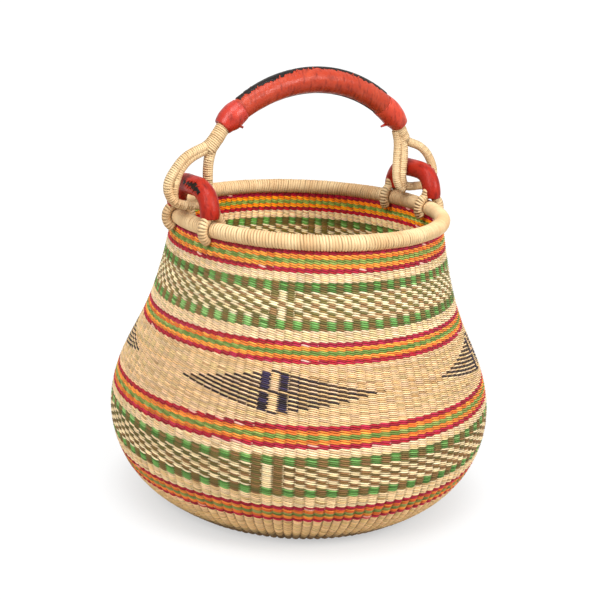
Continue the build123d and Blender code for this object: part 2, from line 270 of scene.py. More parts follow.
# Which straw shows over each stake of each row of a band
def band_pattern(kind, rows):
    row, stake = np.mgrid[0:rows, 0:stake_count]
    motif = (stake + motif_stakes // 2) % motif_stakes - motif_stakes // 2
    pattern = np.zeros((rows, stake_count), int)
    if kind == "stripes":
        pick = [straw_number(n) for n in ("crimson", "orange", "lime", "orange", "crimson")]
        pattern = np.array(pick)[np.minimum(row // 2, len(pick) - 1)]
    if kind.startswith("checker"):
        block_rows = 4
        wide = kind == "checker_wide"
        step = row - block_rows + (1 if wide else 0)
        cream = straw_number("cream")
        dark = straw_number("olive" if wide else "moss")
        squares = np.where((step // 2 + stake) % 2 == 0, cream, dark)
        pattern = np.where(motif == 0, cream, squares)
        pattern = np.where(abs(motif) == 1, dark, pattern)
        if not wide:
            pattern = np.where(step // 2 == 3, squares, pattern)
        edge = (row < block_rows) | (row >= rows - block_rows)
        block = np.where(stake % 2 == 0, straw_number("leaf"), straw_number("olive"))
        pattern = np.where(edge, block, pattern)
    if kind == "diamonds":
        diamond_reach, column_reach = 11, 9
        step = row - rows // 2
        inside = abs(step) + abs(motif) <= diamond_reach
        pattern = np.where(inside & ((step + motif) % 2 == 0), straw_number("ink"), 0)
        column = (abs(step) <= column_reach) & (step != 0)
        pattern = np.where(column & (abs(motif) == 1), straw_number("navy"), pattern)
        pattern = np.where(column & (motif == 0), 0, pattern)
    return pattern


# The straws run out and are spliced after a few stakes, so the shade changes along a
# row. A few natural straws are brown, and the dye hasn't taken on a few crimson ones.
def straw_shades(pattern, rng, tint_and_painted_light):
    straw = np.zeros(pattern.shape)
    for row in straw:
        for strand in (0, 1):
            stake = strand
            while stake < stake_count:
                run = int(rng.integers(5, 14)) * 2
                row[stake:stake + run:2] = rng.random()
                stake += run
    colours = np.zeros((*pattern.shape, 3))
    for number, name in enumerate(straw_names):
        shades = np.array([dye(*shade) for shade in straw_colours[name]])
        here = pattern == number
        colours[here] = shades[(straw[here] * len(shades)).astype(int)]
    row_light, straw_light, blemished = 0.20, 0.34, 0.03
    light = 1 + row_light * (rng.random((len(pattern), 1)) - 0.5)
    light = light + straw_light * (rng.random(pattern.shape) - 0.5)
    colours = colours * light[..., None]
    brown = (rng.random(pattern.shape) < blemished) & (pattern == 0)
    colours[brown] *= (0.74, 0.66, 0.56)
    undyed = (rng.random(pattern.shape) < blemished) & (pattern == straw_number("crimson"))
    colours[undyed] = dye(232, 176, 160)
    # The tint also carries painted shade and light, where the caller gives it
    return colours * tint_and_painted_light


# A ring of stitches: where each lies, how it runs and faces, and its size
def stitch_ring(radius, level, out, count, row_height, rib):
    turn = first_stake + 2 * math.pi * np.arange(count) / count
    cos, sin = np.cos(turn), np.sin(turn)
    pitch = 2 * math.pi * radius / count
    return [
        np.stack([radius * cos, radius * sin, np.full(count, level)], -1),
        np.stack([-sin, cos, np.zeros(count)], -1),
        np.stack([out[0] * cos, out[0] * sin, np.full(count, out[1])], -1),
        np.ones((count, 3)) * (pitch / nominal_pitch, row_height / nominal_row, rib),
    ]


# Loose mesh points, each carrying its own values
def marked_points(name, places, values):
    mesh = bpy.data.meshes.new(name)
    mesh.vertices.add(len(places))
    mesh.vertices.foreach_set("co", places.ravel())
    keys = {"FLOAT": "value", "FLOAT_VECTOR": "vector", "FLOAT_COLOR": "color"}
    for title, kind, numbers in values:
        data = mesh.attributes.new(title, kind, "POINT").data
        data.foreach_set(keys[kind], numbers.ravel())
    return stand(name, mesh)


# One mesh point where each straw passes over a stake, strayed a little from its place
def stitch_points(name, rings, tints, rng, stray=0.0):
    places, alongs, outs, fits = (np.concatenate(part) for part in zip(*rings))
    if stray:
        places = places + (rng.random(places.shape) - 0.5) * stray
    rgba = np.concatenate([np.concatenate(tints), np.ones((len(places), 1))], 1)
    return marked_points(name, places, (
        ("along", "FLOAT_VECTOR", alongs), ("outward", "FLOAT_VECTOR", outs),
        ("fit", "FLOAT_VECTOR", fits), ("straw", "FLOAT_COLOR", rgba),
        ("shade", "FLOAT", rng.random(len(places))),
    ))


# The stitches of rows up the wall, each row at its distance from the foot
def wall_points(name, middles, heights, colours, rng, rib=1.0):
    rings = []
    for middle, row_height in zip(middles, heights):
        place, out = wall_at(middle)
        radius, level = place - out * wall_half * rib
        ring = stitch_ring(radius, level, out, stake_count, row_height, rib)
        ring[3] = ring[3] * (1 + 0.05 * (rng.random((stake_count, 3)) - 0.5))
        rings.append(ring)
    return stitch_points(name, rings, colours, rng, stray=0.00022)


def new_tree(name, sockets):
    tree = bpy.data.node_groups.new(name, "GeometryNodeTree")
    for title, kind, value in (("Geometry", "Geometry", None), *sockets):
        socket = tree.interface.new_socket(title, in_out="INPUT", socket_type="NodeSocket" + kind)
        if value is not None:
            socket.default_value = value
    tree.interface.new_socket("Geometry", in_out="OUTPUT", socket_type="NodeSocketGeometry")
    return tree, tree.nodes.new("NodeGroupInput").outputs


def xyz(tree, x=0.0, y=0.0, z=0.0):
    return made(tree, "ShaderNodeCombineXYZ", {0: x, 1: y, 2: z})


def vector_sum(tree, operation, first, second):
    values = {0: first, 3 if operation == "SCALE" else 1: second}
    return made(tree, "ShaderNodeVectorMath", values, operation=operation)


def named(tree, name, kind="FLOAT_VECTOR"):
    return made(tree, "GeometryNodeInputNamedAttribute", {"Name": name}, data_type=kind)


def store(tree, geometry, name, value, kind="FLOAT", domain="POINT"):
    return made(tree, "GeometryNodeStoreNamedAttribute", {
        "Geometry": geometry, "Name": name, "Value": value,
    }, data_type=kind, domain=domain)


def circle(tree, sides, radius):
    return made(tree, "GeometryNodeCurvePrimitiveCircle", {"Resolution": sides, "Radius": radius})


def level_normals(tree, curve):
    return made(tree, "GeometryNodeSetCurveNormal", {"Curve": curve}, mode="Z_UP")


# A line in a number of steps, bent to its places
def bent_line(tree, steps, place):
    line = made(tree, "GeometryNodeCurvePrimitiveLine")
    line = made(tree, "GeometryNodeResampleCurve", {"Curve": line, "Count": steps})
    line = made(tree, "GeometryNodeSetPosition", {"Geometry": line, "Position": place})
    return level_normals(tree, line)


# The four-cornered section of a split straw
def straw_section(tree, half_width, half_height):
    return made(tree, "GeometryNodeTransform", {
        "Geometry": circle(tree, 4, 1.0), "Scale": xyz(tree, half_width, half_height, 1.0),
    })


def swept(tree, curve, section, scale=1.0, caps=True):
    mesh = made(tree, "GeometryNodeCurveToMesh", {
        "Curve": curve, "Profile Curve": section, "Scale": scale, "Fill Caps": caps,
    })
    return made(tree, "GeometryNodeSetShadeSmooth", {"Geometry": mesh})


def facing(tree, out, along):
    return made(tree, "FunctionNodeAxesToRotation", {0: out, 1: along},
                primary_axis="Z", secondary_axis="X")


# Lays a shape at each point, turned as the point says, and returns the result
def laid(tree, points, shape, turn, size=None):
    inputs = {"Points": points, "Instance": shape, "Rotation": turn}
    if size is not None:
        inputs["Scale"] = size
    return made(tree, "GeometryNodeInstanceOnPoints", inputs)


def end_tree(tree, geometry, material):
    real = made(tree, "GeometryNodeRealizeInstances", {"Geometry": geometry})
    done = made(tree, "GeometryNodeSetMaterial", {"Geometry": real, "Material": material})
    put(tree, "NodeGroupOutput", {0: done})


# A stitch: the straw comes up between two stakes, passes over one, dips behind the next
stitch_tree, given = new_tree("twined_stitches", (
    ("Stake pitch", "Float", nominal_pitch),
    ("Row height", "Float", nominal_row),
    ("Bulge", "Float", wall_half - straw_half),
    ("Slant", "Float", 0.45),
    ("Straw half thickness", "Float", straw_half),
    ("Straw material", "Material", None),
))
tree = stitch_tree
stitch_run, stitch_start = 2.04, -0.52
flatness, pinch, straw_share = 0.6, 0.22, 0.44
reach = put(tree, "GeometryNodeSplineParameter").outputs["Factor"]
reach = sum_up(tree, "MULTIPLY_ADD", reach, stitch_run, stitch_start)
turn = times(tree, reach, math.pi)
swing = sum_up(tree, "COSINE", turn)
flat = sum_up(tree, "POWER", sum_up(tree, "ABSOLUTE", swing), flatness)
swing = times(tree, flat, sum_up(tree, "SIGN", swing))
drop = times(tree, sum_up(tree, "SINE", turn), given["Row height"])
drop = times(tree, drop, given["Slant"])
line = bent_line(tree, 9, xyz(
    tree, times(tree, reach, given["Stake pitch"]),
    times(tree, drop, -1.0), times(tree, swing, given["Bulge"]),
))
half_width = times(tree, given["Row height"], straw_share)
section = straw_section(tree, half_width, given["Straw half thickness"])
stitch = swept(tree, line, section, sum_up(tree, "MULTIPLY_ADD", flat, pinch, 1.0 - pinch))
position = made(tree, "GeometryNodeInputPosition")
in_millimetres = (1000.0, 1000.0, 1000.0)
fibre = vector_sum(tree, "MULTIPLY", position, in_millimetres)
stitch = store(tree, stitch, "fibre", fibre, "FLOAT_VECTOR")
turn = facing(tree, named(tree, "outward"), named(tree, "along"))
stitches = laid(tree, given["Geometry"], stitch, turn, named(tree, "fit"))
end_tree(tree, stitches, given["Straw material"])


# Turns a piece's faces outward where they came out the other way round
def outward_faces(piece):
    mesh = piece.data
    corners = np.zeros(len(mesh.vertices) * 3)
    mesh.vertices.foreach_get("co", corners)
    mesh.calc_loop_triangles()
    faces = np.zeros(len(mesh.loop_triangles) * 3, int)
    mesh.loop_triangles.foreach_get("vertices", faces)
    a, b, c = corners.reshape(-1, 3)[faces.reshape(-1, 3)].transpose(1, 0, 2)
    if (a * np.cross(b, c)).sum() < 0:
        mesh.flip_normals()
    return piece


# Works a node tree out on a piece and leaves a plain mesh, with only what its looks need
def work_out(piece, tree, values):
    modifier = piece.modifiers.new(tree.name, "NODES")
    modifier.node_group = tree
    for item in tree.interface.items_tree:
        if item.in_out == "INPUT" and item.name in values:
            modifier[item.identifier] = values[item.name]
    evaluated = piece.evaluated_get(bpy.context.evaluated_depsgraph_get())
    mesh = bpy.data.meshes.new_from_object(evaluated)
    piece.modifiers.remove(modifier)
    kept = ("straw", "shade", "fibre", "position", "sharp_face", "sharp_edge", "material_index")
    for title in [a.name for a in mesh.attributes]:
        if title not in kept and not title.startswith("."):
            mesh.attributes.remove(mesh.attributes[title])
    raw = piece.data
    piece.data = mesh
    mesh.name = piece.name
    bpy.data.meshes.remove(raw)
    return outward_faces(piece)


def new_group(name, takes, gives):
    group = bpy.data.node_groups.new(name, "ShaderNodeTree")
    for way, sockets in (("INPUT", takes), ("OUTPUT", gives)):
        for title, kind in sockets:
            group.interface.new_socket(title, in_out=way, socket_type="NodeSocket" + kind)
    return group, group.nodes.new("NodeGroupInput").outputs


def noise(tree, place, scale, detail, roughness=0.5):
    return made(tree, "ShaderNodeTexNoise", {
        "Vector": place, "Scale": scale, "Detail": detail, "Roughness": roughness,
    })


# Moves a value from one range to another, and holds it there
def ranged(tree, value, start, end, low, high):
    return made(tree, "ShaderNodeMapRange", {
        "Value": value, "From Min": start, "From Max": end, "To Min": low, "To Max": high,
    })


def mixed(tree, share, first, second, blend="MIX"):
    return put(tree, "ShaderNodeMix", {0: share, 6: first, 7: second},
               data_type="RGBA", blend_type=blend).outputs[2]


# Straw grain: fine streaks along the straw, a few dark nodes, and their relief. On the inside of
# the basket, away from the sun, the dyes have faded less; there the colour is also lifted in
# value, as painted light on the shaded inner wall.
grain_group, given = new_group("straw_grain", (
    ("Straw", "Color"), ("Fibre", "Vector"), ("Shade", "Float"), ("Streak", "Float"),
), (
    ("Colour", "Color"), ("Relief", "Float"), ("Dryness", "Float"),
))
tree = grain_group
spread = vector_sum(tree, "MULTIPLY", given["Fibre"], (0.10, 2.6, 2.6))
shift = vector_sum(tree, "SCALE", (17.0, 31.0, 23.0), given["Shade"])
where = vector_sum(tree, "ADD", spread, shift)
streak = noise(tree, where, 1.0, 3.0, 0.6)
weak = times(tree, sum_up(tree, "SUBTRACT", streak, 0.5), given["Streak"])
tinted = vector_sum(tree, "SCALE", given["Straw"], sum_up(tree, "ADD", weak, 1.0))
node_depth = times(tree, given["Streak"], 0.8)
node_share = ranged(tree, noise(tree, where, 0.45, 1.0), 0.62, 0.78, 0.0, node_depth)
browned = mixed(tree, node_share, tinted, (0.30, 0.17, 0.07, 1.0), "MULTIPLY")
depth = put(tree, "ShaderNodeSeparateXYZ", {0: given["Fibre"]}).outputs["Z"]
# Painted light: the inner faces are brightened, and made a little more saturated
faded_less_and_lit = made(tree, "ShaderNodeHueSaturation", {
    "Saturation": 1.08, "Value": 1.38, "Fac": ranged(tree, depth, -0.1, -0.9, 0.0, 1.0),
    "Color": browned,
})
dryness = ranged(tree, streak, 0.3, 0.7, 0.48, 0.72)
put(tree, "NodeGroupOutput", {0: faded_less_and_lit, 1: streak, 2: dryness})


def attribute(tree, name, output):
    return put(tree, "ShaderNodeAttribute", attribute_name=name).outputs[output]


# How far a point of a straw lies from its middle, across it or outwards
def fibre_part(tree, axis):
    parts = put(tree, "ShaderNodeSeparateXYZ", {0: attribute(tree, "fibre", "Vector")})
    return sum_up(tree, "ABSOLUTE", parts.outputs[axis])


# Gives a material's shader its colour, its roughness, its relief and its gloss
def finish(tree, colour, roughness, height, strength, depth, gloss=0.5):
    bump = {"Height": height, "Strength": strength, "Distance": depth}
    feed(tree, tree.nodes["Principled BSDF"], {
        "Base Color": colour, "Roughness": roughness,
        "Normal": made(tree, "ShaderNodeBump", bump), "Specular IOR Level": gloss,
    })


# Gives a material the straw's grain; dust and painted shade, where there are any, lie over the
# grain
def straw_finish(tree, colour, streak, dust_and_shade=None):
    grain = put(tree, "ShaderNodeGroup", node_tree=grain_group)
    feed(tree, grain, {
        "Straw": colour, "Fibre": attribute(tree, "fibre", "Vector"),
        "Shade": attribute(tree, "shade", "Fac"), "Streak": streak,
    })
    shown, relief, dryness = grain.outputs
    if dust_and_shade is not None:
        shown = vector_sum(tree, "SCALE", shown, dust_and_shade)
    finish(tree, shown, dryness, relief, strength=0.35, depth=0.0003, gloss=0.4)


twined_straw, tree = new_material("twined_straw")
# Where a stitch dips between the stakes its colour is darkened: painted shade in the groove, with
# some dust
groove_dust_and_shade = ranged(tree, fibre_part(tree, "Z"), 0.2, 1.35, 0.70, 1.0)
straw_finish(tree, attribute(tree, "straw", "Color"), streak=0.55, dust_and_shade=groove_dust_and_shade)

# Each band: its node, its pattern, its rows and what tints its straws. The low bands are darkened
# and the high ones lightened: partly the straws' own tone, partly painted shade and light for
# light that falls from above
bands = (
    ("foot_band", "plain", 24, (0.93, 0.83, 0.69)),
    ("stripe_lowest", "stripes", 10, (0.92, 0.78, 0.72)),
    ("plain_lowest", "plain", 6, (0.98, 0.98, 0.98)),
    ("checker_lower", "checker_wide", 20, (1.0, 0.98, 0.94)),
    ("plain_low", "plain", 4, (1.0, 1.02, 1.07)),
    ("stripe_low", "stripes", 10, (1.0, 1.02, 1.02)),
    ("diamond_band", "diamonds", 30, (0.90, 0.87, 0.86)),
    ("stripe_high", "stripes", 10, (1.02, 1.12, 1.2)),
    ("plain_high", "plain", 5, (1.01, 1.05, 1.13)),
    ("checker_upper", "checker_narrow", 21, (1.03, 1.05, 1.04)),
    ("plain_neck", "plain", 5, (1.01, 1.07, 1.16)),
    ("stripe_top", "stripes", 11, (1.08, 1.14, 1.2)),
)
borrowed_row = 0.0022
most_rows = 24
foot_rib = 1.5
rng = np.random.default_rng(11)

for node, kind, rows, tint_and_painted_light in bands:
    low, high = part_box(node)
    edges = np.interp((low.z, high.z), wall_line[:, 1], wall_length)
    # The top stripes have one row more, from the plain band below them
    if node == "plain_neck":
        edges[1] -= borrowed_row
    if node == "stripe_top":
        edges[0] -= borrowed_row
    edges = np.linspace(edges[0], edges[1], rows + 1)
    middles, heights = (edges[:-1] + edges[1:]) / 2, np.diff(edges)
    colours = straw_shades(band_pattern(kind, rows), rng, tint_and_painted_light)
    if node == "foot_band":
        # The foot's lowest rows are darkened, jaggedly and higher up on one side than on the
        # other: painted shadow where the foot stands on the floor and on its side away from the
        # light
        painted_shade_rows = 5 + 7 * (0.5 + 0.5 * np.cos(stake_turns + 2.93)) ** 3
        unshaded = np.clip((np.arange(rows)[:, None] + 1) / painted_shade_rows, 0, 1)
        patchy = 0.35 + 1.3 * rng.random(unshaded.shape)
        colours *= ((0.20 + 0.80 * unshaded) ** patchy)[..., None]
    # A tall band is made as two pieces, which keeps each one light
    parts = [(node + "_rows", slice(0, rows))]
    if rows > most_rows:
        parts = [(node + "_rows_low", slice(0, rows // 2)),
                 (node + "_rows_high", slice(rows // 2, rows))]
    rib = foot_rib if node == "foot_band" else 1.0
    slant = 0.30 if kind.startswith("checker") else 0.34
    for name, part in parts:
        piece = wall_points(name, middles[part], heights[part], colours[part], rng, rib)
        work_out(piece, stitch_tree, {"Straw material": twined_straw, "Slant": slant})
        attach(piece, "basket")
        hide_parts(node)


# ---------------------------------------------------------------- woven base
# The base starts as a round mat of the same twining. Stakes are added as it grows, so
# their spacing stays even, and the last rows turn up into the wall.
base_middle = 0.0023
turn_up = np.interp(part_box("base_weave")[1].z, wall_line[:, 1], wall_length)
mat_start = 0.003
mat_rows = 43
mat_step = (outline[0, 0] - mat_start) / mat_rows
mat_stakes = ((0.066, 120), (0.034, 60), (0.017, 30), (0.0075, 15), (0.0, 7))
mat_halves = 0.1


def mat_points(name, radii, rng):
    rings, tints = [], []
    for radius in radii:
        count = next(stakes for reach, stakes in mat_stakes if radius >= reach)
        rings.append(stitch_ring(radius, base_middle, (0.0, -1.0), count, mat_step, 0.92))
        plain = np.zeros((1, stake_count), int)
        # The mat's straws are darkened: painted shade on the underside
        tints.append(straw_shades(plain, rng, (0.84, 0.76, 0.62))[0][:count])
    return stitch_points(name, rings, tints, rng)


radii = mat_start + mat_step * (np.arange(mat_rows) + 0.5)
pieces = [mat_points("base_mat_heart", radii[radii < mat_halves], rng),
          mat_points("base_mat_edge", radii[radii >= mat_halves], rng)]
turned_rows = 5
edges = np.linspace(0, turn_up, turned_rows + 1)
# The turned-up rows are darkened to under a third: painted shade along the foot's bottom edge
colours = straw_shades(np.zeros((turned_rows, stake_count), int), rng, (0.30, 0.23, 0.15))
pieces.append(wall_points("base_turn_up_rows", (edges[:-1] + edges[1:]) / 2,
                          np.diff(edges), colours, rng))
for piece in pieces:
    work_out(piece, stitch_tree, {"Straw material": twined_straw})
    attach(piece, "basket")
    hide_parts("base_weave")


# ---------------------------------------------------------------- stakes
# Flat bundles of stiff straw stand in the wall from the base to the rim, and the rows are twined
# round them. They show only as ribs between the stitches, and are coloured darker than the straw,
# as painted shade there.

# Closed tubes in one mesh: each is an array of rings of places, capped at both ends
def tubes(name, shapes, material, smooth=True):
    verts, faces = [], []
    for rings in shapes:
        start = len(verts)
        count, around = rings.shape[:2]
        verts += [tuple(place) for place in rings.reshape(-1, 3)]
        for ring in range(start, start + (count - 1) * around, around):
            for n in range(around):
                a, b = ring + n, ring + (n + 1) % around
                faces.append((a, b, b + around, a + around))
        faces.append(tuple(start + n for n in reversed(range(around))))
        faces.append(tuple(start + (count - 1) * around + n for n in range(around)))
    mesh = bpy.data.meshes.new(name)
    mesh.from_pydata(verts, [], faces)
    for face in mesh.polygons:
        face.use_smooth = smooth and len(face.vertices) == 4
    mesh.materials.append(material)
    return stand(name, mesh)


stake_half = 0.0006
stake_section = ((-1, 0), (-0.5, stake_half), (0.5, stake_half),
                 (1, 0), (0.5, -stake_half), (-0.5, -stake_half))
wall_rings, wall_outs = wall_at(np.linspace(0, wall_length[-1], 40))
mat_rings = [(radius, base_middle) for radius in (0.0006, 0.06, 0.118)]
rings = np.concatenate([mat_rings, wall_rings - wall_outs * wall_half])
outs = np.concatenate([np.tile((0.0, -1.0), (len(mat_rings), 1)), wall_outs])
shapes = []
for turn in stake_turns:
    cos, sin = math.cos(turn), math.sin(turn)
    shape = []
    for (radius, level), (out_r, out_z) in zip(rings, outs):
        half = math.pi * radius / stake_count
        shape.append([(
            (radius + out_r * lift) * cos - side * half * sin,
            (radius + out_r * lift) * sin + side * half * cos,
            level + out_z * lift,
        ) for side, lift in stake_section])
    shapes.append(np.array(shape))
stake_straw, tree = new_material("stake_straw")
grain = noise(tree, place_on_piece(tree), 900.0, 3.0)
# The stakes are coloured dark brown: painted shade for the gaps between the stitches
toned = mixed(tree, grain, (*dye(92, 66, 40), 1), (*dye(134, 102, 66), 1))
finish(tree, toned, 0.7, grain, strength=1.0, depth=0.0003)
stakes = tubes("stakes", shapes, stake_straw, smooth=False)
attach(stakes, "basket")


# ---------------------------------------------------------------- rim
# The stake ends are turned over and bound side by side with split straw, each wrap
# lying a little aslant round the roll.
wound_tree, given = new_tree("wound_straw", (
    ("Wrap pitch", "Float", 0.0016),
    ("Cover", "Float", 0.60),
    ("Bundle radius", "Float", 0.007),
    ("Straw half thickness", "Float", 0.0005),
    ("Slant", "Float", 0.12),
    ("Looseness", "Float", 0.045),
    ("Broad straws", "Float", 0.2),
    ("Sides", "Int", 14),
    ("Seed", "Int", 3),
    ("Straw material", "Material", None),
))
tree = wound_tree
path = made(tree, "GeometryNodeMeshToCurve", {"Mesh": given["Geometry"]})
girth = named(tree, "girth", "FLOAT")
hoop = circle(tree, given["Sides"], given["Bundle radius"])
core = swept(tree, path, hoop, girth)
wrap_step = {"Curve": path, "Length": given["Wrap pitch"]}
turns = made(tree, "GeometryNodeResampleCurve", wrap_step, mode="LENGTH")
half_width = times(tree, given["Wrap pitch"], given["Cover"])
section = straw_section(tree, given["Straw half thickness"], half_width)
wrap = swept(tree, level_normals(tree, hoop), section, caps=False)
position = made(tree, "GeometryNodeInputPosition")
spot = put(tree, "ShaderNodeSeparateXYZ", {0: position}).outputs
angle = sum_up(tree, "ARCTAN2", spot["Y"], spot["X"])
width_share = sum_up(tree, "DIVIDE", spot["Z"], given["Wrap pitch"])
fibre = xyz(tree, times(tree, angle, 7.0), times(tree, width_share, 2.7))
wrap = store(tree, wrap, "fibre", fibre, "FLOAT_VECTOR")


# A random value for each wrap; each shift of the seed gives a series of its own
def loose(tree, seed, shift, low, high):
    return put(tree, "FunctionNodeRandomValue", {
        2: low, 3: high, "Seed": sum_up(tree, "ADD", seed, shift),
    }, data_type="FLOAT").outputs[1]


seed = given["Seed"]
most_lean = given["Looseness"]
least_lean = times(tree, most_lean, -1.0)
lean = xyz(
    tree, sum_up(tree, "ADD", given["Slant"], loose(tree, seed, 1, least_lean, most_lean)),
    loose(tree, seed, 2, least_lean, most_lean),
)
lean = made(tree, "FunctionNodeEulerToRotation", {0: lean})
tangent, normal = made(tree, "GeometryNodeInputTangent"), made(tree, "GeometryNodeInputNormal")
upright = facing(tree, tangent, normal)
turn = made(tree, "FunctionNodeRotateRotation", {0: upright, 1: lean}, rotation_space="LOCAL")
swell = times(tree, loose(tree, seed, 4, 0.992, 1.022), girth)
narrow = sum_up(tree, "SUBTRACT", 0.72, given["Broad straws"])
broad = sum_up(tree, "GREATER_THAN", noise(tree, position, 26.0, 1.0), narrow)
broad = times(tree, broad, loose(tree, seed, 6, 0.4, 2.6))
broad = times(tree, broad, 0.9)
width = sum_up(tree, "ADD", broad, loose(tree, seed, 7, 0.90, 1.15))
wraps = laid(tree, turns, wrap, turn, xyz(tree, swell, swell, width))
wraps = store(tree, wraps, "shade", loose(tree, seed, 5, 0.0, 1.0), domain="INSTANCE")
whole = put(tree, "GeometryNodeJoinGeometry")
for part in (store(tree, core, "shade", -1.0), wraps):
    tree.links.new(part, whole.inputs[0])
end_tree(tree, whole.outputs[0], given["Straw material"])

# Wound straw is toned in patches and from wrap to wrap, and darkened between the wraps as painted
# shade in the grooves
wound_straw, tree = new_material("wound_straw")
patch = ranged(tree, noise(tree, place_on_piece(tree), 42.0, 2.0), 0.35, 0.65, 0.0, 1.0)
shade = attribute(tree, "shade", "Fac")
both = sum_up(tree, "MULTIPLY_ADD", patch, 0.70, times(tree, shade, 0.22))
tones = ramp(tree, both, (
    (0.0, dye(206, 166, 118)), (0.5, dye(219, 186, 139)), (1.0, dye(230, 202, 156)),
))
core_share = sum_up(tree, "LESS_THAN", shade, -0.5)
toned = mixed(tree, core_share, tones, (*dye(214, 176, 124), 1))
# Painted shade: the colour darkens towards the edges of each wrap, in the grooves between wraps
edge = sum_up(tree, "ABSOLUTE", sum_up(tree, "SUBTRACT", fibre_part(tree, "Y"), 1.38))
groove = ranged(tree, edge, 0.05, 0.40, 0.74, 1.0)
straw_finish(tree, vector_sum(tree, "SCALE", toned, groove), streak=0.18)


# A wound strand: a core along a path, with a straw wrapped round it. Lengths are metres.
def wound_piece(name, strands, radius, closed=False, pitch=0.0023, thick=0.00045, slant=0.14,
                sides=12, broad=0.2, cover=0.6, seed=3):
    verts, edges, girths = [], [], []
    for points, girth in strands:
        start = len(verts)
        verts += [tuple(p) for p in points]
        girths += list(girth)
        edges += [(start + k, start + k + 1) for k in range(len(points) - 1)]
        if closed:
            edges.append((start + len(points) - 1, start))
    mesh = bpy.data.meshes.new(name)
    mesh.from_pydata(verts, edges, [])
    mesh.attributes.new("girth", "FLOAT", "POINT").data.foreach_set("value", girths)
    return work_out(stand(name, mesh), wound_tree, {
        "Wrap pitch": pitch, "Bundle radius": radius, "Straw half thickness": thick,
        "Slant": slant, "Sides": sides, "Broad straws": broad, "Cover": cover, "Seed": seed,
        "Straw material": wound_straw,
    })


rim_low, rim_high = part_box("rim_roll")
rim_radius = (rim_high.z - rim_low.z) / 2
rim_height = (rim_high.z + rim_low.z) / 2
rim_ring = (rim_high.x - rim_low.x) / 2 - rim_radius
turns = np.linspace(0, 2 * math.pi, 181)[:-1]
lumps = 1 + 0.015 * np.sin(7 * turns + 1) + 0.012 * np.sin(17 * turns)
ring = np.stack([rim_ring * np.cos(turns), rim_ring * np.sin(turns),
                 np.full(len(turns), rim_height)], -1)
rim_inset = 0.0008
rim = wound_piece("rim_binding", [(ring, lumps)], rim_radius - rim_inset, closed=True,
                  pitch=0.0027, thick=0.0009, slant=0.16, sides=16, broad=0.03)
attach(rim, "basket")
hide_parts("rim_roll")


# ---------------------------------------------------------------- ears
# Each ear is a straw hoop covered with a red leather sleeve, sewn up along its outer
# side with black thong. It stands on the rim and carries one ring of the handle.

# A path of straight runs joined by arcs of one bend, read at an even step
def bent_path(corners, bend, step):
    corners = [Vector(c) for c in corners]
    pieces = [corners[0]]
    for before, here, after in zip(corners, corners[1:], corners[2:]):
        back, ahead = (before - here).normalized(), (after - here).normalized()
        half = back.angle(ahead) / 2
        trim = bend / math.tan(half)
        centre = here + (back + ahead).normalized() * (bend / math.sin(half))
        first, last = here + back * trim - centre, here + ahead * trim - centre
        sweep_angle = first.angle(last)
        count = max(3, int(bend * sweep_angle / step))
        for n in range(count + 1):
            turn = sweep_angle * n / count
            spoke = first * math.sin(sweep_angle - turn) + last * math.sin(turn)
            pieces.append(centre + spoke / math.sin(sweep_angle))
    pieces.append(corners[-1])
    points = np.array([tuple(p) for p in pieces])
    far = run_at(points)
    apart = np.concatenate([[True], np.diff(far) > 1e-7])
    points, far = points[apart], run_at(points[apart])
    reads = np.linspace(0, far[-1], max(4, int(far[-1] / step)))
    return np.stack([np.interp(reads, far, points[:, k]) for k in range(3)], -1)


# The skin of a tube at an angle from its side: places, outward directions and tangents
def tube_skin(path, radii, side, angles, lift=0.0):
    tangents = unit(np.gradient(path, axis=0))
    first = unit(side - tangents * (tangents @ side)[:, None])
    second = np.cross(tangents, first)
    angles = (angles + np.zeros(len(path)))[:, None]
    outward = np.cos(angles) * first + np.sin(angles) * second
    return path + (radii + lift)[:, None] * outward, outward, tangents


# A closed, slightly dented leather tube round a path; its seam faces the side
def leather_tube(name, leather, path, radii, side, sides, dents, seed):
    lump = np.random.default_rng(seed).random(3) * 6.28
    k = np.arange(len(path))
    columns = []
    for turn in 2 * math.pi * np.arange(sides) / sides:
        wave = np.sin(2 * turn + lump[0] + k * 0.11) + 0.6 * np.sin(3 * turn + lump[1] - k * 0.23)
        wave += 0.7 * np.sin(k * 0.37 + lump[2] + turn)
        columns.append(tube_skin(path, radii * (1 + dents * wave), side, turn)[0])
    return tubes(name, [np.stack(columns, 1)], leather)


# A leather strip laid along a tube: halves is half its width, as an angle at each ring
def leather_strip(name, leather, path, radii, side, middle, halves, thick):
    across = np.linspace(-1, 1, 9)
    lifts = [(share, thick * (1 - abs(share) ** 3) + 0.0001) for share in across]
    lifts += [(share, -0.0012) for share in across[::-1]]
    columns = [tube_skin(path, radii, side, middle + share * halves, lift)[0]
               for share, lift in lifts]
    return outward_faces(tubes(name, [np.stack(columns, 1)], leather))


# Whip stitches: one mark for each stitch, across the two edges of a strip
def whip_marks(path, radii, side, middle, halves, pitch, slant, kept=1.0):
    rng = np.random.default_rng(41)
    far = run_at(path)
    marks = []
    for edge in (-1, 1):
        places, outs, tangents = tube_skin(path, radii, side, middle + edge * halves, 0.0002)
        for reach in np.arange(pitch * (1 + 0.25 * edge), far[-1] - pitch, pitch):
            k = int(np.searchsorted(far, reach))
            around = np.cross(outs[k], tangents[k])
            lean = slant + 0.5 * (rng.random() - 0.5)
            lie = around * math.cos(lean) + tangents[k] * math.sin(lean)
            if rng.random() < kept:
                marks.append((places[k], outs[k], lie))
    return marks


